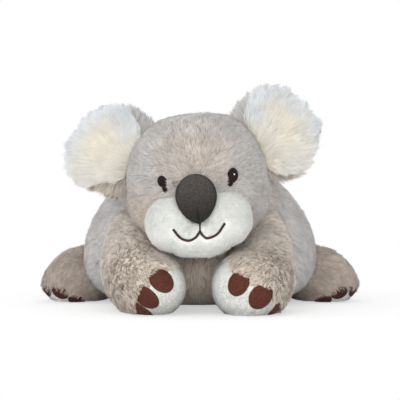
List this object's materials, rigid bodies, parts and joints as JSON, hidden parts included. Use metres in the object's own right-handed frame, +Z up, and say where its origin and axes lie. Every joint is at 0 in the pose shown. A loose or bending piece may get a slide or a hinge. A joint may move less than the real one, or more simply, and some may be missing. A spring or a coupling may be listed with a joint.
{
  "type": "plush koala",
  "caption": "Stuffed toy koala lying on its front, head on its forearms, with fluffy ears, white muzzle and soles, embroidered claws and eyes.",
  "frame": {"origin": "on the floor, under the middle of the toy's bounding box", "axes": "+X to the toy's own left, -Y the way the face looks, +Z up"},
  "size_m": [0.3358, 0.317, 0.2224],
  "materials": {
    "grey_plush": "long grey-brown pile",
    "white_pile": "short white pile",
    "cream_pile": "very long cream pile",
    "dark_velour": "short dark grey velour",
    "claw_satin": "reddish brown satin stitch",
    "eye_satin": "dark brown satin stitch"
  },
  "bodies": {
    "trunk": {"body": "grey_plush"},
    "head": {"head": "grey_plush", "muzzle": "white_pile", "nose": "dark_velour", "eye_left": "eye_satin", "eye_right": "eye_satin"},
    "ear_left": {"ear_back_left": "grey_plush", "ear_lining_left": "cream_pile"},
    "ear_right": {"ear_back_right": "grey_plush", "ear_lining_right": "cream_pile"},
    "arm_left": {"arm_left": "grey_plush", "paw_sole_left": "white_pile", "paw_claw_left_inner": "claw_satin", "paw_claw_left_middle": "claw_satin", "paw_claw_left_outer": "claw_satin"},
    "arm_right": {"arm_right": "grey_plush", "paw_sole_right": "white_pile", "paw_claw_right_inner": "claw_satin", "paw_claw_right_middle": "claw_satin", "paw_claw_right_outer": "claw_satin"},
    "leg_left": {"leg_left": "grey_plush", "foot_sole_left": "white_pile", "foot_claw_left_inner": "claw_satin", "foot_claw_left_middle": "claw_satin", "foot_claw_left_outer": "claw_satin"},
    "leg_right": {"leg_right": "grey_plush", "foot_sole_right": "white_pile", "foot_claw_right_inner": "claw_satin", "foot_claw_right_middle": "claw_satin", "foot_claw_right_outer": "claw_satin"}
  },
  "joints": [
    {"name": "neck_nod", "type": "hinge", "parent": "trunk", "child": "head", "pos_m": [0, -0.026, 0.092], "axis": [-1, 0, 0], "range_deg": [0, 10]},
    {"name": "ear_left_fold", "type": "hinge", "parent": "head", "child": "ear_left", "pos_m": [0.05567, -0.068, 0.16725], "axis": [-0.6157, 0, 0.788], "range_deg": [-15, 15], "stiffness_Nm_per_rad": 0.02},
    {"name": "ear_right_fold", "type": "hinge", "parent": "head", "child": "ear_right", "pos_m": [-0.06766, -0.068, 0.15428], "axis": [0.4384, 0, 0.8988], "range_deg": [-15, 15], "stiffness_Nm_per_rad": 0.02},
    {"name": "shoulder_left_swing", "type": "hinge", "parent": "trunk", "child": "arm_left", "pos_m": [0.074, -0.022, 0.08], "axis": [0, 0, 1], "range_deg": [0, 20], "stiffness_Nm_per_rad": 0.05},
    {"name": "shoulder_right_swing", "type": "hinge", "parent": "trunk", "child": "arm_right", "pos_m": [-0.074, -0.022, 0.08], "axis": [0, 0, -1], "range_deg": [0, 20], "stiffness_Nm_per_rad": 0.05},
    {"name": "hip_left_swing", "type": "hinge", "parent": "trunk", "child": "leg_left", "pos_m": [0.092, 0.074, 0.036], "axis": [0, 0, 1], "range_deg": [-12, 12], "stiffness_Nm_per_rad": 0.05},
    {"name": "hip_right_swing", "type": "hinge", "parent": "trunk", "child": "leg_right", "pos_m": [-0.092, 0.074, 0.036], "axis": [0, 0, -1], "range_deg": [-12, 12], "stiffness_Nm_per_rad": 0.05}
  ]
}
